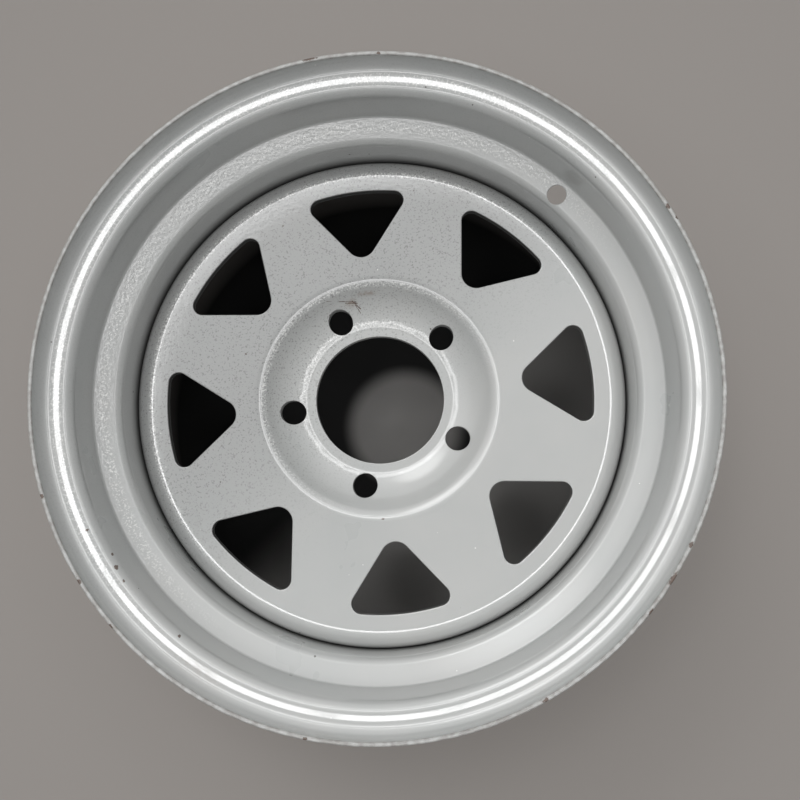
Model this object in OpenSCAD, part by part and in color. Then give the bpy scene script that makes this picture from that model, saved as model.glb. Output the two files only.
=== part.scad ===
// Steel road wheel: a rolled rim hoop with a pressed centre welded inside it
// Millimetres, +Z up: the origin is the middle of the hub face, Z is the wheel axis and the front faces up
// Each sheet is drawn as a list of corners with a bend radius at each one, then turned about the axis

/* [Rim] */
// Bead seat diameter at the foot of the flange
seat_d = 354.8; // [346:0.2:364]
// Width between the two flanges
rim_w = 152.4; // [148:0.2:160]
// Thickness of the rim sheet
rim_t = 2.5; // [2:0.1:3]
// Height of a flange above the bead seat
flange_h = 17.3; // [16.5:0.1:20]
// Width of a flange from its tyre side to its edge
flange_w = 13; // [12:0.5:15]
// Bend radius of the curled flange edge, tyre side
curl_r = 10.5; // [9:0.5:11]
// Bend radius at the foot of the flange, tyre side
foot_r = 4.5; // [3.5:0.5:5.5]
// Rounding of the rim's free edges
lip_round = 0.8; // [0.4:0.1:0.9]
// Slope of a bead seat in degrees
seat_slope = 5; // [3:0.5:7]
// Length of a bead seat along the axis
seat_l = 25.8; // [23:0.2:28]
// Depth of the well below the bead seat
well_depth = 17.4; // [16:0.2:19]
// Tilt of the front well wall in degrees from the wheel plane
ledge_tilt = 23; // [18:1:28]
// Bend radius between a bead seat and the well wall, tyre side
shoulder_r = 4.5; // [4:0.5:7]
// Bend radius at the bottom of the front well wall, tyre side
well_r = 4; // [3:0.5:6]
// Bend radius at the bottom of the back well wall, tyre side
back_well_r = 8; // [6:0.5:12]
// How far the flat well bottom runs on behind the weld
well_run = 8; // [7:0.5:12]

/* [Valve hole] */
// Diameter of the valve hole
valve_d = 11.7; // [10:0.1:12.5]
// Distance of the valve hole from the bottom of the well
valve_out = 4.6; // [3.5:0.1:6.5]
// Direction of the valve hole in degrees from a window
valve_turn = 40.9; // [0:0.1:360]

/* [Centre] */
// Thickness of the centre's sheet
disc_t = 5; // [4:0.25:5.25]
// Height of the front face above the hub face
face_z = 22.5; // [22:0.5:26]
// Width of the sloped edge round the front face
edge_w = 9; // [8:0.2:12]
// Slope of that edge in degrees
edge_slope = 20; // [14:1:28]
// Bend radius between the front face and the edge
edge_bend_r = 16; // [10:0.5:20]
// Inside bend radius between the edge and the outer band
band_bend_r = 0.6; // [0.5:0.1:2]
// Height of the outer band that sits in the rim
band_h = 29.2; // [24:0.2:32]
// Gap between the centre and the rim
disc_fit = 0.1; // [0.05:0.05:0.3]
// Diameter of the centre bore
bore_d = 84.2; // [76:0.1:87]
// Rounding of the centre's cut edges
disc_round = 0.6; // [0.3:0.1:1]
// Radius where the flat hub pad ends
pad_r = 47.6; // [46.5:0.1:49]
// Bend radius at the edge of the pad, front side
pad_bend_r = 8; // [6:0.5:12]
// Slope of the hub dish at the edge of the pad in degrees
dish_start = 15; // [13:1:18]
// Slope of the hub dish at its steepest in degrees
dish_slope = 46; // [44:1:47]
// Radius of the hollow of the dish, front side
dish_low_r = 46; // [42:0.5:48]
// Bend radius at the top of the dish, front side
dish_top_r = 12; // [8:0.5:12.5]

/* [Stud holes] */
// Number of stud holes
stud_n = 5; // [4:1:6]
// Stud circle diameter
stud_circle_d = 114.3; // [112:0.1:118]
// Diameter of a stud hole
stud_hole_d = 15.8; // [13:0.1:17]
// Turn of the first stud hole in degrees from a window
stud_turn = 38.4; // [0:0.1:72]

/* [Windows] */
// Number of windows
window_n = 8; // [6:1:8]
// Distance from a window to the outer edge of the centre
window_edge = 21.2; // [19:0.1:24]
// Distance of a window's inner end from the axis
window_inner_r = 92.2; // [86:0.1:98]
// Width of a window across its outer corners
window_w = 61.2; // [52:0.2:64]
// Corner radius at the outer corners
window_corner_r = 6.3; // [4:0.1:9]
// Corner radius at the inner end
window_end_r = 9.4; // [6:0.1:12]

/* [Welds] */
// Number of weld runs
weld_n = 8; // [4:1:10]
// Size of the bead
weld_leg = 5; // [3.5:0.25:5.5]
// Length of one run in degrees
weld_sweep = 18; // [10:1:24]

/* [Hidden] */
$fn = 160;
arc_step = 6;
past = 1;
seat_r = seat_d / 2;
half_w = rim_w / 2;
lip_r = seat_r + flange_h;
lip_z = half_w + flange_w;
shoulder_z = half_w - seat_l;
shoulder_at = seat_r - seat_l * tan(seat_slope);
well_out_r = seat_r - well_depth;
well_in_r = well_out_r - rim_t;
well_z = shoulder_z - (shoulder_at - well_out_r) * tan(ledge_tilt);
disc_r = well_in_r - disc_fit;
edge_at = disc_r - edge_w;
edge_z = face_z - edge_w * tan(edge_slope);
band_z = edge_z - band_h;
weld_end_z = band_z - weld_leg;
back_well_z = weld_end_z - well_run;
dish_run = pad_bend_r * tan(dish_start / 2) + dish_low_r * tan((dish_slope - dish_start) / 2) + 0.2;
dish_low_at = pad_r + dish_run * cos(dish_start);
dish_low_z = disc_t + dish_run * sin(dish_start);
dish_top_at = dish_low_at + (face_z - dish_low_z) / tan(dish_slope);
window_out_r = disc_r - window_edge;
bore_r = bore_d / 2;
stud_circle_r = stud_circle_d / 2;
stud_hole_r = stud_hole_d / 2;
valve_r = well_out_r + valve_out;
valve_z = shoulder_z - (shoulder_at - valve_r) * tan(ledge_tilt) + rim_t / cos(ledge_tilt);
rim_path = [
    [lip_r, lip_z, lip_round],
    [lip_r, half_w, curl_r],
    [seat_r, half_w, foot_r],
    [shoulder_at, shoulder_z, shoulder_r],
    [well_out_r, well_z, well_r],
    [well_out_r, back_well_z, back_well_r],
    [shoulder_at, -shoulder_z, shoulder_r],
    [seat_r, -half_w, foot_r],
    [lip_r, -half_w, curl_r],
    [lip_r, -lip_z, lip_round]
];
disc_path = [
    [bore_r, disc_t, disc_round],
    [pad_r, disc_t, pad_bend_r],
    [dish_low_at, dish_low_z, dish_low_r],
    [dish_top_at, face_z, dish_top_r],
    [edge_at, face_z, edge_bend_r],
    [disc_r, edge_z, disc_t + band_bend_r],
    [disc_r, band_z, disc_round]
];

// Direction helpers for a path of corners, each corner being [across, up, bend radius]
function unit(v) = v / norm(v);
function right_of(v) = [v.y, -v.x];
function spot(p, i) = [p[i].x, p[i].y];
function heading(p, i) = unit(spot(p, i + 1) - spot(p, i));

// Points along an arc
function arc(c, r, from, sweep) =
    let (steps = max(2, ceil(abs(sweep) / arc_step)))
    [for (k = [0 : steps]) c + r * [cos(from + sweep * k / steps), sin(from + sweep * k / steps)]];

// Arc that rounds corner b between its neighbours a and c
function rounded_corner(a, b, c) =
    let (
        at = [b.x, b.y],
        u = unit([a.x, a.y] - at),
        v = unit([c.x, c.y] - at),
        open = acos(u * v),
        centre = at + unit(u + v) * b.z / sin(open / 2),
        start = at + u * b.z / tan(open / 2) - centre
    )
    arc(centre, b.z, atan2(start.y, start.x), sign(cross(v, u)) * (180 - open));

// Closed outline with every corner rounded
function rounded(q) =
    [for (i = [0 : len(q) - 1]) each rounded_corner(q[(i + len(q) - 1) % len(q)], q[i], q[(i + 1) % len(q)])];

// Corner on the far side of a sheet of thickness t, which lies to the right of its path
function far_corner(p, i, t) =
    let (
        last = len(p) - 1,
        before = heading(p, max(i - 1, 0)),
        after = heading(p, min(i, last - 1)),
        at = spot(p, i) + t * (right_of(before) + right_of(after)) / (1 + before * after),
        r = p[i].z + t * sign(cross(before, after))
    )
    [at.x, at.y, r];

// Section of a bent sheet: its path, then the far side on the way back
function sheet(p, t) = rounded(concat(p, [for (i = [len(p) - 1 : -1 : 0]) far_corner(p, i, t)]));

// Window outline, a rounded triangle on the X axis whose outer side is an arc about the wheel axis
function window_outline() =
    let (
        end_c = [window_inner_r + window_end_r, 0],
        corner_y = window_w / 2 - window_corner_r,
        corner_c = [sqrt(pow(window_out_r - window_corner_r, 2) - corner_y * corner_y), corner_y],
        span = corner_c - end_c,
        lean = asin((window_end_r - window_corner_r) / norm(span)),
        side = atan2(span.y, span.x) + 90 - lean,
        top = atan2(corner_c.y, corner_c.x)
    )
    concat(
        arc(end_c, window_end_r, side, 360 - 2 * side),
        arc([corner_c.x, -corner_c.y], window_corner_r, -side, side - top),
        arc([0, 0], window_out_r, -top, 2 * top),
        arc(corner_c, window_corner_r, top, side - top)
    );

// Rolled hoop: two curled flanges, two bead seats and the well, with the valve hole through the front well wall
module rim() {
    color("gainsboro") difference() {
        rotate_extrude() polygon(sheet(rim_path, rim_t));
        rotate(valve_turn) translate([valve_r, 0, valve_z]) rotate([0, -ledge_tilt, 0])
            cylinder(d = valve_d, h = 4 * rim_t, center = true);
    }
}

// Pressed centre: hub pad, dish, flat face and the band that sits in the rim
module wheel_disc() {
    color("whitesmoke") difference() {
        rotate_extrude() polygon(sheet(disc_path, disc_t));
        for (i = [0 : stud_n - 1]) {
            rotate(stud_turn + i * 360 / stud_n) translate([stud_circle_r, 0, -past])
                cylinder(r = stud_hole_r, h = face_z + past);
        }
        for (i = [0 : window_n - 1]) {
            rotate(i * 360 / window_n) translate([0, 0, face_z - disc_t - past])
                linear_extrude(height = disc_t + 2 * past) polygon(window_outline());
        }
    }
}

// Weld runs in the corner between the rim and the back edge of the centre
module weld_beads() {
    color("silver") for (i = [0 : weld_n - 1]) {
        rotate((i + 0.5) * 360 / weld_n) weld_run_bead();
    }
}

// One quarter-round run
module weld_run_bead() {
    rotate(-weld_sweep / 2) rotate_extrude(angle = weld_sweep)
        polygon(concat([[well_in_r, band_z]], arc([well_in_r, band_z], weld_leg, 180, 90)));
}

rim();
wheel_disc();
weld_beads();
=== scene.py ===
# %% [markdown]
# # A pressed-steel road wheel
# The wheel lies on its back on a pale floor, seen from above. It has three pieces: a rolled
# rim hoop, a pressed centre welded inside it, and the weld runs behind. This lesson rebuilds
# each one as a smooth mesh over the CAD solid, paints it with worn enamel, and lights it.

# %% Load the frame
import math
from collections import namedtuple

import bmesh
import bpy
import numpy as np
from mathutils import Matrix, Vector


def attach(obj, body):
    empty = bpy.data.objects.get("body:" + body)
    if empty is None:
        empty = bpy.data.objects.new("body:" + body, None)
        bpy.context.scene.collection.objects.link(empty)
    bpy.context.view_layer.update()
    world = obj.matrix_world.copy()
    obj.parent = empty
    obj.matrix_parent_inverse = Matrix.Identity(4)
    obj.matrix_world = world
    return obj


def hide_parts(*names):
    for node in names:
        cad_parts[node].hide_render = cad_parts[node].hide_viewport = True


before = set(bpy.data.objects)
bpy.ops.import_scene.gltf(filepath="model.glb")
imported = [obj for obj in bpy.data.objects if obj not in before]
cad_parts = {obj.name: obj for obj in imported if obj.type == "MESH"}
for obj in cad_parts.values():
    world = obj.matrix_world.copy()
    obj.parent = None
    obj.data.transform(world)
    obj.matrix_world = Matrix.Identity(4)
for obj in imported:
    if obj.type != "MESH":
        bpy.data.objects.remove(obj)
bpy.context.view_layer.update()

MM = 0.001
print("CAD nodes:", sorted(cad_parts))

# %% [markdown]
# ## The sections
# A sheet-metal wheel is easiest to describe by its section: a list of corners, each with a
# bend radius, and a sheet thickness. Turning the section about the axis gives the piece.
# The sizes are the CAD model's, in millimetres, so the mesh lies on the solid.

# %% Sizes of the pressed centre
DISC_R, DISC_T, FACE_Z = 157.4, 5.0, 22.5
EDGE_W, EDGE_SLOPE, BAND_H = 9.0, math.radians(20), 29.2
EDGE_Z = FACE_Z - EDGE_W * math.tan(EDGE_SLOPE)
BAND_Z = EDGE_Z - BAND_H
BORE_R, PAD_R, PAD_BEND = 42.1, 47.6, 8.0
DISH_START, DISH_SLOPE, DISH_LOW_BEND = math.radians(15), math.radians(46), 46.0
PAD_TANGENT = PAD_BEND * math.tan(DISH_START / 2)
DISH_RUN = PAD_TANGENT + DISH_LOW_BEND * math.tan((DISH_SLOPE - DISH_START) / 2) + 0.2
DISH_LOW_R = PAD_R + DISH_RUN * math.cos(DISH_START)
DISH_LOW_Z = DISC_T + DISH_RUN * math.sin(DISH_START)
DISH_TOP_R = DISH_LOW_R + (FACE_Z - DISH_LOW_Z) / math.tan(DISH_SLOPE)
DISC_PATH = [
    (BORE_R, DISC_T, 0.6), (PAD_R, DISC_T, PAD_BEND), (DISH_LOW_R, DISH_LOW_Z, DISH_LOW_BEND),
    (DISH_TOP_R, FACE_Z, 12), (DISC_R - EDGE_W, FACE_Z, 16), (DISC_R, EDGE_Z, DISC_T + 0.6),
    (DISC_R, BAND_Z, 0.6),
]
print("dish from", round(DISH_LOW_R, 2), "to", round(DISH_TOP_R, 2), "band down to", round(BAND_Z, 2))

# %% Sizes of the rim
SEAT_R, HALF_W, RIM_T = 177.4, 76.2, 2.5
LIP_R, LIP_Z, LIP_ROUND = 194.7, 89.2, 0.8
SHOULDER_Z, LEDGE_TILT = 50.4, math.radians(23)
SHOULDER_R = SEAT_R - 25.8 * math.tan(math.radians(5))
WELD_LEG, WELL_RUN = 5.0, 8.0
WELL_R, WELL_BACK_Z = 160.0, BAND_Z - WELD_LEG - WELL_RUN
WELL_Z = SHOULDER_Z - (SHOULDER_R - WELL_R) * math.tan(LEDGE_TILT)
RIM_PATH = [
    (LIP_R, LIP_Z, LIP_ROUND), (LIP_R, HALF_W, 10.5), (SEAT_R, HALF_W, 4.5),
    (SHOULDER_R, SHOULDER_Z, 4.5), (WELL_R, WELL_Z, 4), (WELL_R, WELL_BACK_Z, 8),
    (SHOULDER_R, -SHOULDER_Z, 4.5), (SEAT_R, -HALF_W, 4.5), (LIP_R, -HALF_W, 10.5),
    (LIP_R, -LIP_Z, LIP_ROUND),
]
print("well front corner at height", round(WELL_Z, 2), "back corner at", round(WELL_BACK_Z, 2))

# %% Sizes of the holes
WINDOWS, WINDOW_OUT_R, WINDOW_INNER_R = 8, DISC_R - 21.2, 92.2
WINDOW_W, WINDOW_CORNER_R, WINDOW_END_R, WINDOW_EDGE_ROUND = 61.2, 6.3, 9.4, 0.9
STUDS, STUD_CIRCLE_R, STUD_HOLE_R, STUD_EDGE_ROUND = 5, 57.15, 7.9, 0.5
STUD_TURN = math.radians(38.4)
VALVE_HOLE_R, VALVE_R, VALVE_TURN = 5.85, WELL_R + 4.6, math.radians(40.9)
VALVE_Z = SHOULDER_Z - (SHOULDER_R - VALVE_R) * math.tan(LEDGE_TILT) + RIM_T / math.cos(LEDGE_TILT)
print("valve hole at radius", VALVE_R, "and height", round(VALVE_Z, 2))


# %% Outline of a bent sheet
def unit(v):
    return v / np.hypot(*v)


def right_of(v):
    return np.array([v[1], -v[0]])


def arc(centre, radius, start, sweep, step=None):
    """Points along an arc, ends included; with no step given, chords stay within 0.006 mm of it."""
    step = step or 2 * math.acos(1 - 0.006 / radius)
    count = max(2, math.ceil(abs(sweep) / step - 1e-6))
    turn = start + sweep * np.arange(count + 1) / count
    return np.asarray(centre) + radius * np.column_stack([np.cos(turn), np.sin(turn)])


def bends(corners):
    """One arc for each corner (across, up, bend radius) of a closed outline."""
    arcs = []
    for a, b, c in zip(corners[-1:] + corners[:-1], corners, corners[1:] + corners[:1]):
        at = np.array(b[:2])
        u, v = unit(np.array(a[:2]) - at), unit(np.array(c[:2]) - at)
        opening = math.acos(u @ v)
        centre = at + unit(u + v) * b[2] / math.sin(opening / 2)
        start = at + u * b[2] / math.tan(opening / 2) - centre
        way = np.sign(v[0] * u[1] - v[1] * u[0])
        arcs.append(arc(centre, b[2], math.atan2(start[1], start[0]), way * (math.pi - opening)))
    return arcs


def sheet(path, thickness):
    """Arcs of the closed section of a sheet that lies to the right of a path of corners."""
    spots = [np.array(p[:2]) for p in path]
    last = len(path) - 1
    back = []
    for i, p in enumerate(path):
        j, k = max(i - 1, 0), min(i, last - 1)
        before, after = unit(spots[j + 1] - spots[j]), unit(spots[k + 1] - spots[k])
        at = spots[i] + thickness * (right_of(before) + right_of(after)) / (1 + before @ after)
        left = np.sign(round(before[0] * after[1] - before[1] * after[0], 9))
        back.append((at[0], at[1], p[2] + thickness * left))
    return bends(list(path) + back[::-1])


rim_section = np.vstack(sheet(RIM_PATH, RIM_T))
disc_arcs = sheet(DISC_PATH, DISC_T)
disc_section = np.vstack(disc_arcs)
dish_front = np.vstack(disc_arcs[:5])
print("section points: rim", len(rim_section), "centre", len(disc_section))


# %% Turn a section about the wheel axis
def revolve(name, section, steps):
    """Closed ring mesh from a closed section in millimetres."""
    turn = 2 * math.pi * np.arange(steps) / steps
    r, z = section[:, 0] * MM, section[:, 1] * MM
    points = np.stack([np.outer(np.cos(turn), r), np.outer(np.sin(turn), r), np.tile(z, (steps, 1))], -1)
    count = len(section)
    i, j = np.meshgrid(np.arange(steps), np.arange(count), indexing="ij")
    i, j, i2, j2 = i.ravel(), j.ravel(), (i.ravel() + 1) % steps, (j.ravel() + 1) % count
    quads = np.column_stack([i * count + j, i2 * count + j, i2 * count + j2, i * count + j2])
    mesh = bpy.data.meshes.new(name)
    mesh.from_pydata(points.reshape(-1, 3), [], quads.tolist())
    tidy(mesh)
    return mesh


def tidy(mesh):
    """Merge doubled points and turn every face outwards."""
    bm = bmesh.new()
    bm.from_mesh(mesh)
    bmesh.ops.remove_doubles(bm, verts=bm.verts, dist=1e-7)
    bmesh.ops.recalc_face_normals(bm, faces=bm.faces)
    bm.to_mesh(mesh)
    bm.free()


rim_mesh = revolve("rim_sheet", rim_section, 320)
disc_mesh = revolve("wheel_disc_sheet", disc_section, 320)
print("rim faces", len(rim_mesh.polygons), "centre faces", len(disc_mesh.polygons))

# %% [markdown]
# ## Cutting the holes
# Windows, stud holes and the valve hole are punched in the real sheet, in rings about the
# axis. Geometry Nodes repeat one cutter round the axis and take the copies out of the sheet
# with a mesh boolean, so the count and the turn stay plain inputs of the tree.

# %% A helper that adds one node
def node(tree, kind, inputs=None, **settings):
    """Add a node with its settings and fill its inputs: a node or socket is linked, the rest are values."""
    made = tree.nodes.new(kind)
    for key, value in settings.items():
        setattr(made, key, value)
    for key, value in (inputs or {}).items():
        if isinstance(value, bpy.types.Node):
            value = next(socket for socket in value.outputs if socket.enabled)
        if isinstance(value, bpy.types.NodeSocket):
            tree.links.new(value, made.inputs[key])
        else:
            made.inputs[key].default_value = value
    return made


# %% Geometry trees: make one, and grow a mesh through it
def geometry_tree(name, sizes):
    """Empty tree with a Geometry input, named sizes as (label, socket kind, value) and a Geometry output."""
    tree = bpy.data.node_groups.new(name, "GeometryNodeTree")
    tree.interface.new_socket("Geometry", in_out="INPUT", socket_type="NodeSocketGeometry")
    for label, kind, value in sizes:
        socket = tree.interface.new_socket(label, in_out="INPUT", socket_type=kind)
        if value is not None:
            socket.default_value = value
    tree.interface.new_socket("Geometry", in_out="OUTPUT", socket_type="NodeSocketGeometry")
    return tree


def grow(name, mesh, tree, values):
    """Run a mesh through a tree and keep the result as a plain mesh object at the origin."""
    piece = bpy.data.objects.new(name, mesh)
    bpy.context.scene.collection.objects.link(piece)
    modifier = piece.modifiers.new(tree.name, "NODES")
    modifier.node_group = tree
    for item in tree.interface.items_tree:
        if item.in_out == "INPUT" and item.name in values:
            modifier[item.identifier] = values[item.name]
    graph = bpy.context.evaluated_depsgraph_get()
    result = bpy.data.meshes.new_from_object(piece.evaluated_get(graph))
    piece.modifiers.remove(modifier)
    piece.data = result
    result.name = name
    return piece


# %% The tree that punches a ring of holes
punch = geometry_tree("punch_ring", [
    ("Cutter", "NodeSocketObject", None), ("Count", "NodeSocketInt", 8),
    ("Turn", "NodeSocketFloat", 0.0), ("Material", "NodeSocketMaterial", None)])
given = node(punch, "NodeGroupInput").outputs
cutter = node(punch, "GeometryNodeObjectInfo", {"Object": given["Cutter"]}).outputs["Geometry"]
spots = node(punch, "GeometryNodePoints", {"Count": given["Count"]})
share = node(punch, "ShaderNodeMath", {0: 2 * math.pi, 1: given["Count"]}, operation="DIVIDE")
index = node(punch, "GeometryNodeInputIndex")
angle = node(punch, "ShaderNodeMath", {0: index, 1: share, 2: given["Turn"]}, operation="MULTIPLY_ADD")
facing = node(punch, "ShaderNodeCombineXYZ", {"Z": angle})
ring = node(punch, "GeometryNodeInstanceOnPoints", {"Points": spots, "Instance": cutter, "Rotation": facing})
real = node(punch, "GeometryNodeRealizeInstances", {"Geometry": ring})
cut = node(punch, "GeometryNodeMeshBoolean", {"Mesh 1": given["Geometry"], "Mesh 2": real},
           operation="DIFFERENCE", solver="EXACT")
dressed = node(punch, "GeometryNodeSetMaterial", {"Geometry": cut, "Material": given["Material"]})
node(punch, "NodeGroupOutput", {0: dressed})
print("punch tree nodes:", len(punch.nodes))


# %% Cutters: stacked outlines that flare where the sheet's edge is rounded
def stack(name, rings):
    """Closed solid from outlines of equal count, lowest first; the object is only a tool and isn't shown."""
    count = len(rings[0])
    points = np.vstack(rings) * MM
    faces = [list(range(count))[::-1], list(range(len(points) - count, len(points)))]
    for level in range(len(rings) - 1):
        for i in range(count):
            a, b = level * count + i, level * count + (i + 1) % count
            faces.append([a, b, b + count, a + count])
    mesh = bpy.data.meshes.new(name)
    mesh.from_pydata(points, [], faces)
    tidy(mesh)
    tool = bpy.data.objects.new(name, mesh)
    bpy.context.scene.collection.objects.link(tool)
    return tool


def raised(flat, z):
    return np.column_stack([flat, np.broadcast_to(z, len(flat))])


def flared(outline, edge, low, surface, high):
    """Outlines of a hole from low to high whose edge is rounded where it meets a surface."""
    rings = [raised(outline(0.0), low)]
    for t in np.radians([0, 22, 44, 66, 84]):
        flat = outline(edge * (1 - math.cos(t)))
        rings.append(raised(flat, surface(flat) - edge + edge * math.sin(t)))
    wide = outline(edge * 1.05)
    return rings + [raised(wide, surface(wide) + 0.01), raised(wide, high)]


# %% Window cutter
def window_outline(spread):
    """Rounded triangle on the X axis, its outer side an arc about the axis, grown by spread."""
    end = np.array([WINDOW_INNER_R + WINDOW_END_R, 0.0])
    corner_y = WINDOW_W / 2 - WINDOW_CORNER_R
    corner = np.array([math.sqrt((WINDOW_OUT_R - WINDOW_CORNER_R) ** 2 - corner_y ** 2), corner_y])
    span = corner - end
    lean = math.asin((WINDOW_END_R - WINDOW_CORNER_R) / np.hypot(*span))
    side = math.atan2(span[1], span[0]) + math.pi / 2 - lean
    top = math.atan2(corner[1], corner[0])
    fine, wide = math.radians(3), math.radians(1.5)
    return np.vstack([
        arc(end, WINDOW_END_R + spread, side, 2 * (math.pi - side), fine),
        arc(corner * [1, -1], WINDOW_CORNER_R + spread, -side, side - top, fine),
        arc((0, 0), WINDOW_OUT_R + spread, -top, 2 * top, wide)[1:-1],
        arc(corner, WINDOW_CORNER_R + spread, top, side - top, fine)])


window_cutter = stack("window_cutter", flared(
    window_outline, WINDOW_EDGE_ROUND, FACE_Z - DISC_T - 2, lambda flat: FACE_Z, FACE_Z + 3))
print("window cutter faces:", len(window_cutter.data.polygons))


# %% Stud hole and valve hole cutters
def round_outline(x, radius, count=64):
    turn = 2 * math.pi * np.arange(count) / count
    return np.column_stack([x + radius * np.cos(turn), radius * np.sin(turn)])


def dish_height(flat):
    """Height of the dish's front under points of the plane."""
    return np.interp(np.hypot(flat[:, 0], flat[:, 1]), dish_front[:, 0], dish_front[:, 1])


def stud_outline(spread):
    return round_outline(STUD_CIRCLE_R, STUD_HOLE_R + spread)


stud_cutter = stack("stud_cutter", flared(stud_outline, STUD_EDGE_ROUND, -2, dish_height, FACE_Z + 3))
VALVE_STEPS = [(0.0, -8), (0.0, -0.4), (0.2, -0.1), (0.75, 0.3), (0.75, 6)]
valve_cutter = stack("valve_cutter", [
    raised(round_outline(0, VALVE_HOLE_R + spread), z) for spread, z in VALVE_STEPS])
valve_cutter.data.transform(
    Matrix.Translation((VALVE_R * MM, 0, VALVE_Z * MM)) @ Matrix.Rotation(-LEDGE_TILT, 4, "Y"))
print("stud and valve cutter faces:", len(stud_cutter.data.polygons), len(valve_cutter.data.polygons))

# %% [markdown]
# ## The paint
# The wheel wears one coat of pale grey enamel, sprayed on and a little thick. Enamel is a
# dielectric with a hard gloss, so it has no metal, a body of plain roughness and a smooth
# clear skin over it, which is the shader's coat. Spray leaves that skin like orange peel,
# a millimetre or two from crest to crest. The upper left is painted darker as shade and is
# dark with grit, painted glints of pale grains lie along the bends, and pale specks of painted
# sparkle lie over all of it. Painted shade also darkens the groove where the centre meets the
# rim and the walls of the windows. A picture of the wear would fix it to one wheel. Here each
# mark is a short function that reads Object coordinates, so the marks stay on the metal and
# can be moved by one number.

# %% Colours, as sRGB hex values turned to linear light
def linear(text):
    parts = [int(text[i:i + 2], 16) / 255 for i in (1, 3, 5)]
    return [c / 12.92 if c <= 0.04045 else ((c + 0.055) / 1.055) ** 2.4 for c in parts] + [1.0]


COLOURS = {name: linear(text) for name, text in {
    "enamel": "#B3B6B5", "thin enamel": "#BFBFBD", "painted side shade": "#7E7F7F", "grit": "#4B4845",
    "painted highlight grain": "#F0F0ED", "dark speck": "#4E4945", "painted sparkle speck": "#ECECE9", "groove shade": "#2B2A29",
    "stain": "#7E6A58", "window wall shade": "#3C3A38", "rubbed lip": "#8A8783", "bare steel": "#26221F",
    "rust": "#6A4B38", "floor": "#938E8A", "painted floor shade": "#0E0E0E", "painted floor light": "#8C8A88",
}.items()}
print("enamel in linear light:", [round(c, 3) for c in COLOURS["enamel"][:3]])

# %% Where a point of the wheel is
Place = namedtuple("Place", "point turn reach height")


def place_on(tree):
    """A point as a vector, and as its turn about the axis, its reach from it and its height."""
    point = node(tree, "ShaderNodeTexCoord").outputs["Object"]
    axes = node(tree, "ShaderNodeSeparateXYZ", {0: point}).outputs
    turn = node(tree, "ShaderNodeMath", {0: axes["Y"], 1: axes["X"]}, operation="ARCTAN2")
    flat = node(tree, "ShaderNodeVectorMath", {0: point, 1: (1, 1, 0)}, operation="MULTIPLY")
    reach = node(tree, "ShaderNodeVectorMath", {0: flat}, operation="LENGTH")
    return Place(point, turn, reach, axes["Z"])


# %% Distances from bare spots and scratches, which are 1 at their edge
def nearest_of(tree, distances):
    """Smallest of several distances."""
    least = distances[0]
    for other in distances[1:]:
        least = node(tree, "ShaderNodeMath", {0: least, 1: other}, operation="MINIMUM")
    return least


def ellipsoid(tree, point, middle, half):
    """Distance of a point from a middle, measured in half sizes."""
    scale = [1 / h for h in half]
    start = [-m / h for m, h in zip(middle, half)]
    shift = node(tree, "ShaderNodeVectorMath", {0: point, 1: scale, 2: start}, operation="MULTIPLY_ADD")
    return node(tree, "ShaderNodeVectorMath", {0: shift}, operation="LENGTH")


def spot_distances(tree, place, spots):
    """Spots at (angle in degrees, radius, height, half sizes along, across and up), in mm."""
    round_place = node(tree, "ShaderNodeCombineXYZ", {"X": place.turn, "Y": place.reach, "Z": place.height})
    found = []
    for t, r, z, (along, across, up) in spots:
        middle = (math.radians(t), r * MM, z * MM)
        found.append(ellipsoid(tree, round_place, middle, (along / r, across * MM, up * MM)))
    return found


def scratch_distances(tree, place, scratches):
    """Straight scratches from one point to another, with a half width, in mm."""
    found = []
    for start, end, half in scratches:
        a, b = Vector(start) * MM, Vector(end) * MM
        along = b - a
        rate = along / along.length_squared
        from_a = node(tree, "ShaderNodeVectorMath", {0: place.point, 1: a}, operation="SUBTRACT")
        part = node(tree, "ShaderNodeVectorMath", {0: from_a, 1: rate}, operation="DOT_PRODUCT")
        part = node(tree, "ShaderNodeClamp", {0: part})
        foot = node(tree, "ShaderNodeVectorMath", {0: along, "Scale": part}, operation="SCALE")
        off = node(tree, "ShaderNodeVectorMath", {0: from_a, 1: foot}, operation="DISTANCE")
        found.append(node(tree, "ShaderNodeMath", {0: off, 1: half * MM}, operation="DIVIDE"))
    return found


# %% Spray: a side of painted shade, its grit and its painted glints
# Real grit is a few tenths of a millimetre across. It is drawn at about 1 mm so that it shows.
GRAIN = 1.1 * MM


def shaded_gritty_side(tree, place):
    """0 on the lower right, 1 on the upper left: the side painted darker as shade, which also carries grit
    and painted glints.
    """
    side = node(tree, "ShaderNodeVectorMath", {0: place.point, 1: (-0.6, 0.8, 0.0)}, operation="DOT_PRODUCT")
    return node(tree, "ShaderNodeMapRange", {"Value": side, "From Min": -60 * MM, "From Max": 60 * MM},
                interpolation_type="SMOOTHSTEP")


def gritty(tree, place, colour, shade_grit_side, strength):
    """Dark grit on the upper-left side."""
    grit = node(tree, "ShaderNodeTexNoise", {"Vector": place.point, "Scale": 1 / GRAIN, "Detail": 2.0})
    most = node(tree, "ShaderNodeMath", {0: shade_grit_side, 1: strength}, operation="MULTIPLY")
    amount = node(tree, "ShaderNodeMapRange", {
        "Value": grit, "From Min": 0.55, "From Max": 0.68, "To Max": most}, interpolation_type="SMOOTHSTEP")
    return node(tree, "ShaderNodeMix", {0: amount, 6: colour, 7: COLOURS["grit"]}, data_type="RGBA")


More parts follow.
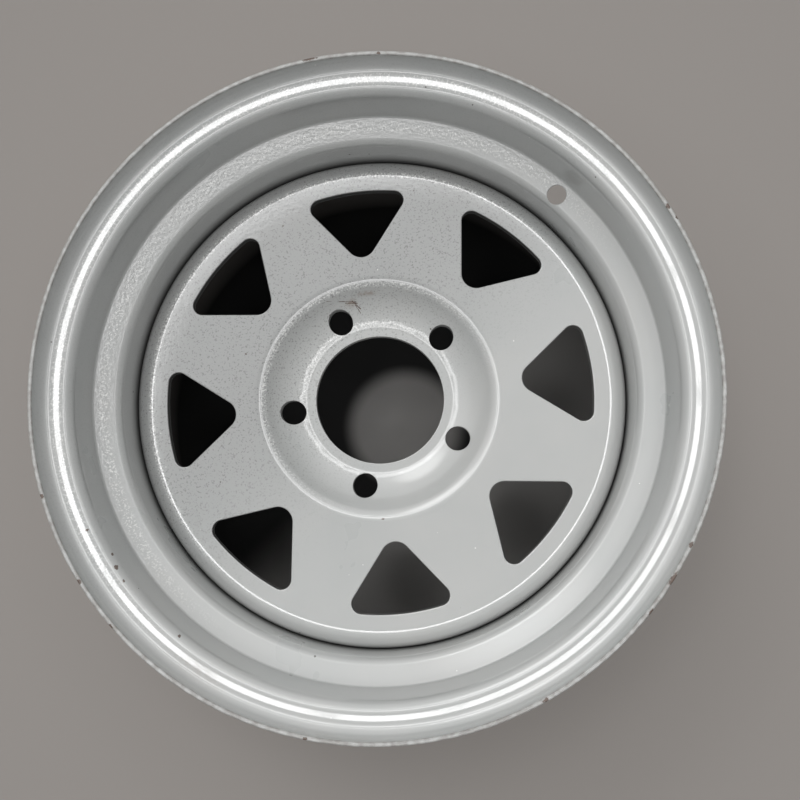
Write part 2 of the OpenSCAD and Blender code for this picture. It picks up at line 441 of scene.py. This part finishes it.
def painted_glints(tree, place, colour, shade_grit_side, bands):
    """Painted glints: pale grains on the front of the upper-left side, along bands of (radius, half width) in
    mm where the bends show highlights.
    """
    offs = []
    for radius, half in bands:
        off = node(tree, "ShaderNodeMath", {0: place.reach, 1: radius * MM}, operation="SUBTRACT")
        off = node(tree, "ShaderNodeMath", {0: off}, operation="ABSOLUTE")
        offs.append(node(tree, "ShaderNodeMath", {0: off, 1: half * MM}, operation="DIVIDE"))
    front = node(tree, "ShaderNodeMapRange", {
        "Value": place.height, "From Min": 3 * MM, "From Max": 5 * MM, "To Max": shade_grit_side},
        interpolation_type="SMOOTHSTEP")
    band = node(tree, "ShaderNodeMapRange", {
        "Value": nearest_of(tree, offs), "From Min": 0.3, "To Min": front, "To Max": 0.0},
        interpolation_type="SMOOTHSTEP")
    most = node(tree, "ShaderNodeMath", {0: band, 1: 0.6}, operation="MULTIPLY")
    grains = node(tree, "ShaderNodeTexNoise", {"Vector": place.point, "Scale": 1 / GRAIN, "Detail": 1.0})
    amount = node(tree, "ShaderNodeMapRange", {
        "Value": grains, "From Min": 0.48, "From Max": 0.34, "To Max": most}, interpolation_type="SMOOTHSTEP")
    return node(tree, "ShaderNodeMix", {0: amount, 6: colour, 7: COLOURS["painted highlight grain"]}, data_type="RGBA")


# %% Dirt and painted light: dark specks, pale specks of painted sparkle, painted shade in the groove, and stains
def specked(tree, place, colour, cell, largest, tone):
    """Scattered specks, at most one in each cell; cell size and largest speck radius in mm."""
    cells = node(tree, "ShaderNodeTexVoronoi", {"Vector": place.point, "Scale": 1 / (cell * MM)}).outputs
    luck = node(tree, "ShaderNodeSeparateColor", {0: cells["Color"]})
    size = node(tree, "ShaderNodeMapRange", {"Value": luck, "From Min": 0.5, "To Max": largest / cell})
    speck = node(tree, "ShaderNodeMath", {0: cells["Distance"], 1: size}, operation="LESS_THAN")
    amount = node(tree, "ShaderNodeMath", {0: speck, 1: 0.8}, operation="MULTIPLY")
    return node(tree, "ShaderNodeMix", {0: amount, 6: colour, 7: COLOURS[tone]}, data_type="RGBA")


def groove_shade(tree, place, colour):
    """Painted shade: dark in the groove where the centre meets the rim."""
    section = node(tree, "ShaderNodeCombineXYZ", {"X": place.reach, "Y": place.height})
    groove = ((DISC_R + 0.05) * MM, 14 * MM, 0.0)
    off = ellipsoid(tree, section, groove, (1.6 * MM, 16 * MM, 1.0))
    amount = node(tree, "ShaderNodeMapRange", {"Value": off, "From Min": 0.1, "To Min": 0.85, "To Max": 0.0},
                  interpolation_type="SMOOTHSTEP")
    return node(tree, "ShaderNodeMix", {0: amount, 6: colour, 7: COLOURS["groove shade"]}, data_type="RGBA")


def stained(tree, place, colour, strength, stains):
    """Thin brown film over the listed spots, uneven and soft at its edge."""
    film = node(tree, "ShaderNodeTexNoise", {"Vector": place.point, "Scale": 1 / (3 * MM), "Detail": 3.0})
    most = node(tree, "ShaderNodeMapRange", {
        "Value": film, "From Min": 0.35, "From Max": 0.65, "To Min": 0.3 * strength, "To Max": strength},
        interpolation_type="SMOOTHSTEP")
    least = nearest_of(tree, spot_distances(tree, place, stains))
    amount = node(tree, "ShaderNodeMapRange", {"Value": least, "To Min": most, "To Max": 0.0},
                  interpolation_type="SMOOTHSTEP")
    return node(tree, "ShaderNodeMix", {0: amount, 6: colour, 7: COLOURS["stain"]}, data_type="RGBA")


# %% Painted shade on the window walls, and wear: rubbed lips, bare steel
def shaded_window_walls(tree, place, colour):
    """Painted shade: dark walls in the windows."""
    off = node(tree, "ShaderNodeMath", {0: place.height, 1: (FACE_Z - DISC_T / 2) * MM}, operation="SUBTRACT")
    off = node(tree, "ShaderNodeMath", {0: off}, operation="ABSOLUTE")
    from_dish = node(tree, "ShaderNodeMapRange", {
        "Value": place.reach, "From Min": 84 * MM, "From Max": 88 * MM, "To Max": 0.75},
        interpolation_type="SMOOTHSTEP")
    to_edge = node(tree, "ShaderNodeMapRange", {
        "Value": place.reach, "From Min": 139 * MM, "From Max": 142 * MM, "To Min": from_dish, "To Max": 0.0},
        interpolation_type="SMOOTHSTEP")
    amount = node(tree, "ShaderNodeMapRange", {
        "Value": off, "From Min": 1.8 * MM, "From Max": 2.3 * MM, "To Min": to_edge, "To Max": 0.0},
        interpolation_type="SMOOTHSTEP")
    return node(tree, "ShaderNodeMix", {0: amount, 6: colour, 7: COLOURS["window wall shade"]}, data_type="RGBA")


def rubbed_lips(tree, place, colour):
    """Colour with the edges of both lips rubbed by handling, and how much clear skin is left."""
    height = node(tree, "ShaderNodeMath", {0: place.height}, operation="ABSOLUTE")
    rubbed = node(tree, "ShaderNodeMapRange", {
        "Value": height, "From Min": 87.6 * MM, "From Max": 88.6 * MM}, interpolation_type="SMOOTHSTEP")
    patchy = node(tree, "ShaderNodeTexNoise", {"Vector": place.point, "Scale": 1 / (4 * MM), "Detail": 3.0})
    share = node(tree, "ShaderNodeMapRange", {
        "Value": patchy, "From Min": 0.3, "From Max": 0.7, "To Min": 0.2, "To Max": 0.9},
        interpolation_type="SMOOTHSTEP")
    amount = node(tree, "ShaderNodeMath", {0: rubbed, 1: share}, operation="MULTIPLY")
    skin_left = node(tree, "ShaderNodeMapRange", {"Value": rubbed, "To Min": 1.0, "To Max": 0.15},
                     interpolation_type="SMOOTHSTEP")
    colour = node(tree, "ShaderNodeMix", {0: amount, 6: colour, 7: COLOURS["rubbed lip"]}, data_type="RGBA")
    return colour, skin_left


def worn(tree, place, colour, gloss, spots, scratches):
    """Colour and roughness with bare, rusty steel in the listed marks, which have a ragged outline."""
    marks = spot_distances(tree, place, spots) + scratch_distances(tree, place, scratches)
    rough = node(tree, "ShaderNodeTexNoise", {"Vector": place.point, "Scale": 1 / (1.2 * MM), "Detail": 3.0})
    ragged = node(tree, "ShaderNodeMath", {0: rough, 1: 1.5, 2: nearest_of(tree, marks)},
                  operation="MULTIPLY_ADD")
    amount = node(tree, "ShaderNodeMapRange", {
        "Value": ragged, "From Min": 1.35, "From Max": 1.75, "To Min": 0.9, "To Max": 0.0},
        interpolation_type="SMOOTHSTEP")
    steel = node(tree, "ShaderNodeMix", {0: rough, 6: COLOURS["bare steel"], 7: COLOURS["rust"]},
                 data_type="RGBA")
    colour = node(tree, "ShaderNodeMix", {0: amount, 6: colour, 7: steel}, data_type="RGBA")
    return colour, node(tree, "ShaderNodeMix", {0: amount, 2: gloss, 3: 0.7})


# %% Enamel material
def enamel(name, side_shade_and_grit, peel, bands, spots, scratches, stains):
    """Sprayed grey enamel: a hard gloss with orange peel, painted darker on one side as shade, with painted
    glints and painted shade, and with its dirt and wear.
    """
    paint = bpy.data.materials.new(name)
    paint.use_nodes = True
    tree = paint.node_tree
    tree.nodes.clear()
    place = place_on(tree)
    film = node(tree, "ShaderNodeTexNoise", {"Vector": place.point, "Scale": 1 / (45 * MM), "Detail": 3.0})
    enamel_tone = node(tree, "ShaderNodeMix", {0: film, 6: COLOURS["enamel"], 7: COLOURS["thin enamel"]},
               data_type="RGBA")
    shade_grit_side = shaded_gritty_side(tree, place)
    outside_dish = node(tree, "ShaderNodeMapRange", {
        "Value": place.reach, "From Min": 62 * MM, "From Max": 80 * MM,
        "To Min": 0.1 * side_shade_and_grit, "To Max": side_shade_and_grit}, interpolation_type="SMOOTHSTEP")
    side_shade = node(tree, "ShaderNodeMath", {0: shade_grit_side, 1: outside_dish}, operation="MULTIPLY")
    # The upper left is mixed towards a darker grey: painted shade.
    colour = node(tree, "ShaderNodeMix", {0: side_shade, 6: enamel_tone, 7: COLOURS["painted side shade"]}, data_type="RGBA")
    colour = gritty(tree, place, colour, shade_grit_side, 0.9 * side_shade_and_grit)
    # Painted glints: pale grains along the bends, where highlights fall.
    if bands:
        colour = painted_glints(tree, place, colour, shade_grit_side, bands)
    colour = specked(tree, place, colour, 13, 0.7, "dark speck")
    # Pale specks are painted sparkle highlights, scattered over all the paint.
    colour = specked(tree, place, colour, 10, 0.5, "painted sparkle speck")
    # Painted shade darkens the groove where the centre meets the rim; the stains are dirt.
    colour = stained(tree, place, groove_shade(tree, place, colour), *stains)
    # Painted shade darkens the walls of the windows; the lips are rubbed by wear.
    colour, skin_left = rubbed_lips(tree, place, shaded_window_walls(tree, place, colour))
    gloss = node(tree, "ShaderNodeMapRange", {
        "Value": film, "From Min": 0.2, "From Max": 0.8, "To Min": 0.26, "To Max": 0.38},
        interpolation_type="SMOOTHSTEP")
    colour, gloss = worn(tree, place, colour, gloss, spots, scratches)
    crests = node(tree, "ShaderNodeTexNoise", {"Vector": place.point, "Scale": 1 / (2 * MM), "Detail": 2.0})
    rise = node(tree, "ShaderNodeMapRange", {"Value": shade_grit_side, "To Min": 0.3, "To Max": peel},
                interpolation_type="SMOOTHSTEP")
    height = node(tree, "ShaderNodeMath", {0: crests, 1: rise}, operation="MULTIPLY")
    skin = node(tree, "ShaderNodeBump", {"Height": height, "Distance": 0.05 * MM, "Strength": 1.0})
    shader = node(tree, "ShaderNodeBsdfPrincipled", {
        "Base Color": colour, "Roughness": gloss, "IOR": 1.5, "Coat Weight": skin_left,
        "Coat Roughness": 0.06, "Coat IOR": 1.8, "Coat Normal": skin})
    node(tree, "ShaderNodeOutputMaterial", {0: shader})
    return paint


# %% [markdown]
# ## The marks of use
# Stones and kerbs chip the edge of the front lip, and fitting a tyre scuffs the foot of the
# flange. There are scratches on the dish beside one stud hole, as a slipped wrench leaves
# them. Each mark is listed by its angle, radius and height, the easiest way to read a wheel.

# %% Chips along the lip and scuffs on the flange
EDGE_CHIPS = [
    (-167.4, 193.5, 89.2, (1.6, 1.2, 1.5)), (-151.9, 193.9, 89.1, (2.0, 1.4, 1.5)),
    (-143.0, 194.3, 88.8, (1.8, 1.2, 1.5)), (-106.4, 193.9, 89.1, (1.5, 1.2, 1.5)),
    (-67.5, 193.5, 89.1, (2.2, 1.3, 1.5)), (-46.0, 194.4, 88.8, (2.4, 1.4, 1.5)),
    (-39.8, 193.6, 89.2, (5.0, 1.3, 1.5)), (-33.7, 193.4, 89.2, (2.2, 1.3, 1.5)),
    (24.0, 193.4, 89.2, (2.0, 1.3, 1.5)), (21.7, 194.5, 88.9, (1.6, 1.2, 1.5)),
    (82.2, 193.2, 89.1, (1.5, 1.0, 1.5)), (94.2, 193.8, 89.2, (5.5, 0.9, 1.5))]
SEAT_SCUFFS = [
    (-150.9, 177.1, 77.1, (1.6, 1.3, 3.0)), (-153.4, 175.7, 75.5, (1.0, 0.8, 2.0)),
    (-148.0, 177.7, 77.5, (1.1, 0.7, 2.0)), (-159.4, 180.8, 78.6, (1.0, 1.3, 2.0)),
    (-133.7, 176.6, 76.7, (1.1, 0.8, 2.0))]
RIM_STAINS = [(-105, 193, 86, (60, 4, 5)), (-128, 185, 80, (30, 7, 6))]
rim_enamel = enamel("rim_grey_enamel", 0.1, 1.1, [(167, 4.5), (183, 5)],
                    EDGE_CHIPS + SEAT_SCUFFS, (), (0.2, RIM_STAINS))
print("marks on the rim:", len(EDGE_CHIPS + SEAT_SCUFFS), "nodes:", len(rim_enamel.node_tree.nodes))


# %% Spots on the centre and scratches beside a stud hole
def on_dish(degrees, radius):
    """Point on the front of the centre."""
    t = math.radians(degrees)
    height = float(np.interp(radius, dish_front[:, 0], dish_front[:, 1]))
    return radius * math.cos(t), radius * math.sin(t), height


DISC_SPOTS = [
    (-94.0, 77.5, 22.4, (1.5, 0.7, 2.0)), (112.6, 129.4, 22.5, (0.7, 0.6, 2.0)),
    (155.4, 90.1, 22.5, (0.6, 0.8, 2.0))]
DISC_SCRATCHES = [
    (on_dish(112, 71.5), on_dish(103, 67.5), 0.2), (on_dish(106, 68.5), on_dish(97, 65.5), 0.35),
    (on_dish(103, 66.5), on_dish(96.5, 64.5), 0.3), (on_dish(99, 66.5), on_dish(95.5, 61.0), 0.45),
    (on_dish(98, 64.0), on_dish(96, 58.5), 0.3)]
DISC_STAINS = [(100, 65.5, 14, (6, 4, 9)), (90, 69, 18, (10, 2.5, 6))]
disc_enamel = enamel("centre_grey_enamel", 0.5, 0.45, [(146.8, 2.5), (74, 2.2), (51, 4)],
                     DISC_SPOTS, DISC_SCRATCHES, (0.7, DISC_STAINS))
print("marks on the centre:", len(DISC_SPOTS + DISC_SCRATCHES), "nodes:", len(disc_enamel.node_tree.nodes))

# %% Chips and a stain on the welds
WELD_CHIPS = [(22.5, 156, -11, (2.5, 2, 3)), (-157.5, 156, -12, (4, 2, 3))]
WELD_STAINS = [(-67.5, 156, -12, (18, 4, 5))]
weld_enamel = enamel("weld_grey_enamel", 0.1, 0.5, [], WELD_CHIPS, (), (0.5, WELD_STAINS))
print("marks on the welds:", len(WELD_CHIPS), "nodes:", len(weld_enamel.node_tree.nodes))

# %% [markdown]
# ## The two sheets
# Each sheet now goes through the punch tree: the rim once for its valve hole, the centre
# twice. Edges sharper than a bend stay sharp, and weighted normals keep the flat faces flat,
# so that the gloss doesn't ripple beside a hole.

# %% Punch the sheets
rim = grow("painted_rim", rim_mesh, punch, {
    "Cutter": valve_cutter, "Count": 1, "Turn": VALVE_TURN, "Material": rim_enamel})
blank = grow("windowed_blank", disc_mesh, punch, {
    "Cutter": window_cutter, "Count": WINDOWS, "Turn": 0.0, "Material": disc_enamel})
centre = grow("painted_centre", blank.data, punch, {
    "Cutter": stud_cutter, "Count": STUDS, "Turn": STUD_TURN, "Material": disc_enamel})
for tool in (window_cutter, stud_cutter, valve_cutter, blank):
    bpy.data.objects.remove(tool)
for piece in (rim, centre):
    piece.data.shade_smooth()
    piece.data.set_sharp_from_angle(angle=math.radians(32))
    weigh = piece.modifiers.new("flat faces stay flat", "WEIGHTED_NORMAL")
    weigh.keep_sharp = True
    result = bpy.data.meshes.new_from_object(piece.evaluated_get(bpy.context.evaluated_depsgraph_get()))
    piece.modifiers.remove(weigh)
    piece.data = result
    print(piece.name, "triangles:", sum(len(p.vertices) - 2 for p in piece.data.polygons))

# %% [markdown]
# ## The welds
# Behind the wheel, short weld runs hold the centre in the rim. A run is a row of small
# overlapping pools, so it looks like a rippled cord with round ends. A tree sweeps a circle
# along an arc, lets its girth ripple and taper at the ends, and repeats the run. The ripple
# comes from the distance along the run, so it keeps its pitch if the run gets longer.

# %% The tree that lays the weld runs
runs = geometry_tree("weld_runs", [
    ("Count", "NodeSocketInt", 8), ("Ring Radius", "NodeSocketFloat", 155.9 * MM),
    ("Height", "NodeSocketFloat", -11.6 * MM), ("Sweep", "NodeSocketFloat", math.radians(18)),
    ("Bead", "NodeSocketFloat", 3.3 * MM), ("Pitch", "NodeSocketFloat", 2.4 * MM),
    ("Material", "NodeSocketMaterial", None)])
given = node(runs, "NodeGroupInput").outputs
half_back = node(runs, "ShaderNodeMath", {0: given["Sweep"], 1: -0.5}, operation="MULTIPLY")
path = node(runs, "GeometryNodeCurveArc", {
    "Resolution": 170, "Radius": given["Ring Radius"], "Start Angle": half_back,
    "Sweep Angle": given["Sweep"]}, mode="RADIUS")
lift = node(runs, "ShaderNodeCombineXYZ", {"Z": given["Height"]})
placed = node(runs, "GeometryNodeSetPosition", {"Geometry": path, "Offset": lift})
print("path of a run:", len(runs.nodes), "nodes")

# %% Girth of a run: rippled, uneven, tapered at its ends
along = node(runs, "GeometryNodeSplineParameter").outputs
phase = node(runs, "ShaderNodeMath", {0: along["Length"], 1: given["Pitch"]}, operation="DIVIDE")
saw = node(runs, "ShaderNodeMath", {0: phase}, operation="FRACT")
pool = node(runs, "ShaderNodeMath", {0: saw, 1: 0.14, 2: 0.86}, operation="MULTIPLY_ADD")
lumps = node(runs, "ShaderNodeTexNoise", {"Scale": 1 / (9 * MM), "Detail": 1.0})
uneven = node(runs, "ShaderNodeMapRange", {
    "Value": lumps, "From Min": 0.3, "From Max": 0.7, "To Min": 0.9, "To Max": 1.0})
to_end = node(runs, "ShaderNodeMath", {0: along["Factor"], 1: 0.5}, operation="SUBTRACT")
to_end = node(runs, "ShaderNodeMath", {0: to_end}, operation="ABSOLUTE")
taper = node(runs, "ShaderNodeMapRange", {
    "Value": to_end, "From Min": 0.44, "From Max": 0.5, "To Min": 1.0, "To Max": 0.25},
    interpolation_type="SMOOTHSTEP")
girth = node(runs, "ShaderNodeMath", {0: pool, 1: uneven}, operation="MULTIPLY")
girth = node(runs, "ShaderNodeMath", {0: girth, 1: taper}, operation="MULTIPLY")
thick = node(runs, "GeometryNodeSetCurveRadius", {"Curve": placed, "Radius": girth})
bead = node(runs, "GeometryNodeCurvePrimitiveCircle", {"Resolution": 18, "Radius": given["Bead"]},
            mode="RADIUS")
swept = node(runs, "GeometryNodeCurveToMesh", {"Curve": thick, "Profile Curve": bead, "Fill Caps": True})
print("with its girth:", len(runs.nodes), "nodes")

# %% Repeat the run between the windows
spots = node(runs, "GeometryNodePoints", {"Count": given["Count"]})
share = node(runs, "ShaderNodeMath", {0: 2 * math.pi, 1: given["Count"]}, operation="DIVIDE")
index = node(runs, "GeometryNodeInputIndex")
between = node(runs, "ShaderNodeMath", {0: index, 1: 0.5}, operation="ADD")
angle = node(runs, "ShaderNodeMath", {0: between, 1: share}, operation="MULTIPLY")
facing = node(runs, "ShaderNodeCombineXYZ", {"Z": angle})
ring = node(runs, "GeometryNodeInstanceOnPoints", {"Points": spots, "Instance": swept, "Rotation": facing})
real = node(runs, "GeometryNodeRealizeInstances", {"Geometry": ring})
even = node(runs, "GeometryNodeSetShadeSmooth", {"Geometry": real, "Shade Smooth": True})
dressed = node(runs, "GeometryNodeSetMaterial", {"Geometry": even, "Material": given["Material"]})
node(runs, "NodeGroupOutput", {0: dressed})
welds = grow("weld_runs", bpy.data.meshes.new("weld_runs_seed"), runs, {"Material": weld_enamel})
tidy(welds.data)
print("weld triangles:", sum(len(p.vertices) - 2 for p in welds.data.polygons))

# %% Stand the pieces in for the CAD nodes
for piece, cad_node in ((rim, "rim"), (centre, "wheel_disc"), (welds, "weld_beads")):
    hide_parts(cad_node)
    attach(piece, "root")
print("pieces on the frame:", rim.name, centre.name, welds.name)

# %% [markdown]
# ## Floor, light and camera
# The floor is plain and pale. Under the wheel it has painted shade, with painted light in patches
# where light falls through the bore and the windows on one side. Glossy paint shows what it
# mirrors, so the room matters more than the lamps: a pale ring overhead puts a bright line on every
# bend, while flat faces mirror its darker middle and show the paint's own grey. One side of the
# room is brighter, which lights one inner wall of the rim and leaves the other darker.

# %% Floor: matt, with painted shade under the wheel and patches of painted light
floor_mesh = bpy.data.meshes.new("floor")
FLOOR_HALF, FLOOR_Z = 4.0, -LIP_Z * MM
corners = [(x * FLOOR_HALF, y * FLOOR_HALF, FLOOR_Z) for x, y in ((-1, -1), (1, -1), (1, 1), (-1, 1))]
floor_mesh.from_pydata(corners, [], [(0, 1, 2, 3)])
floor = bpy.data.objects.new("floor", floor_mesh)
bpy.context.scene.collection.objects.link(floor)
pale = bpy.data.materials.new("pale_floor")
pale.use_nodes = True
tree = pale.node_tree
place = place_on(tree)
# Painted shade under the wheel, with painted light in patches below the bore and the windows on one side.
under = node(tree, "ShaderNodeMapRange", {
    "Value": place.reach, "From Min": 165 * MM, "From Max": 185 * MM, "To Min": 1.0, "To Max": 0.0})
from_bore = node(tree, "ShaderNodeVectorMath", {0: place.point, 1: (12 * MM, -12 * MM, FLOOR_Z)},
                 operation="DISTANCE")
bore_patch = node(tree, "ShaderNodeMapRange", {
    "Value": from_bore, "From Min": 34 * MM, "From Max": 50 * MM, "To Min": 1.0, "To Max": 0.0},
    interpolation_type="SMOOTHSTEP")
side = node(tree, "ShaderNodeVectorMath", {0: place.point, 1: (0.6, -0.8, 0.0)}, operation="DOT_PRODUCT")
bright_side = node(tree, "ShaderNodeMapRange", {"Value": side, "From Max": 50 * MM},
                   interpolation_type="SMOOTHSTEP")
window_patches = node(tree, "ShaderNodeMapRange", {
    "Value": place.reach, "From Min": 75 * MM, "From Max": 90 * MM, "To Max": bright_side},
    interpolation_type="SMOOTHSTEP")
painted_light = node(tree, "ShaderNodeMath", {0: bore_patch, 1: window_patches}, operation="MAXIMUM")
painted_shade_and_light = node(tree, "ShaderNodeMix", {
    0: painted_light, 6: COLOURS["painted floor shade"], 7: COLOURS["painted floor light"]}, data_type="RGBA")
tone = node(tree, "ShaderNodeMix", {0: under, 6: COLOURS["floor"], 7: painted_shade_and_light}, data_type="RGBA")
matt = tree.nodes["Principled BSDF"]
tree.links.new(tone.outputs["Result"], matt.inputs["Base Color"])
matt.inputs["Roughness"].default_value = 0.9
floor_mesh.materials.append(pale)
print("floor at height in mm:", round(FLOOR_Z / MM, 1))

# %% Room light: a pale ring overhead and one bright side
world = bpy.data.worlds.new("soft_room")
bpy.context.scene.world = world
world.use_nodes = True
sky = world.node_tree
aim = node(sky, "ShaderNodeTexCoord").outputs["Generated"]
ROOM_LEVEL, OVERHEAD = 0.26, (113.7, 85)


def light_patch(direction, start, end, middle, beyond):
    """Level in the middle of a patch about (turn, lift), changing to the level beyond between two angles."""
    turn, lift = (math.radians(a) for a in direction)
    towards = (math.cos(turn) * math.cos(lift), math.sin(turn) * math.cos(lift), math.sin(lift))
    inner, outer = math.cos(math.radians(start)), math.cos(math.radians(end))
    closeness = node(sky, "ShaderNodeVectorMath", {0: aim, 1: towards}, operation="DOT_PRODUCT")
    return node(sky, "ShaderNodeMapRange", {
        "Value": closeness, "From Min": outer, "From Max": inner, "To Min": beyond, "To Max": middle},
        interpolation_type="SMOOTHSTEP")


pale_ring = light_patch(OVERHEAD, 16.5, 18.5, 0.0, light_patch(OVERHEAD, 22.5, 27, 3.0, 0.0))
wide_glow = light_patch(OVERHEAD, 14, 26, 0.0, light_patch(OVERHEAD, 42, 60, 0.24, 0.0))
bright_wall = light_patch((105, 38), 15, 60, 0.54, 0.0)
soft_key = light_patch((115, 45), 4, 15, 2.2, 0.0)
level = ROOM_LEVEL
for part in (wide_glow, pale_ring, bright_wall, soft_key):
    level = node(sky, "ShaderNodeMath", {0: part, 1: level}, operation="ADD")
sky.nodes["Background"].inputs["Color"].default_value = (1, 1, 1, 1)
sky.links.new(level.outputs[0], sky.nodes["Background"].inputs["Strength"])
print("room light nodes:", len(sky.nodes))


# %% Soft boxes: a ring of small ones gives each bright line a crisp core
def soft_box(name, at, target, size, power, spread):
    """Area light that faces a target, its long side level and its beam held to a spread."""
    lamp = bpy.data.lights.new(name, "AREA")
    lamp.shape, lamp.size, lamp.size_y = "RECTANGLE", size[0], size[1]
    lamp.energy, lamp.spread = power, math.radians(spread)
    box = bpy.data.objects.new(name, lamp)
    back = (Vector(at) - Vector(target)).normalized()
    along = Vector((0, 0, 1)).cross(back).normalized()
    box.matrix_world = Matrix.Translation(at) @ Matrix((along, back.cross(along), back)).transposed().to_4x4()
    bpy.context.scene.collection.objects.link(box)


BOXES, BOX_SIZE, BOX_POWER, BOX_SPREAD = 16, (0.27, 0.1), 0.036, 70
RING_MIDDLE, RING_R, TARGET_R = Vector((-0.071, 0.162, 1.2)), 0.64, 0.185
for k in range(BOXES):
    turn = 2 * math.pi * k / BOXES
    out = Vector((math.cos(turn), math.sin(turn), 0))
    soft_box("ring_box_%d" % k, RING_MIDDLE + RING_R * out, TARGET_R * out, BOX_SIZE, BOX_POWER, BOX_SPREAD)
print("lights:", len(bpy.data.lights))

# %% Camera, from above and a little to one side
lens = bpy.data.cameras.new("camera")
lens.lens, lens.sensor_width, lens.clip_start = 36.125, 36.0, 0.01
lens.shift_x, lens.shift_y = 0.00676, 0.00314
camera = bpy.data.objects.new("camera", lens)
stand = Vector((0.02870, -0.06498, 0.52942))
right = Vector((0.9924987, -0.1117012, -0.0496907))
up = Vector((0.1166741, 0.9868262, 0.1120771))
towards = Vector((-0.0365170, 0.1170340, -0.9924563))
turned = Matrix((right, up, -towards)).transposed().to_4x4()
camera.matrix_world = Matrix.Translation(stand) @ turned
bpy.context.scene.collection.objects.link(camera)
bpy.context.scene.camera = camera
bpy.context.scene.view_settings.view_transform = "Standard"
print("camera distance in mm:", round(stand.length / MM))
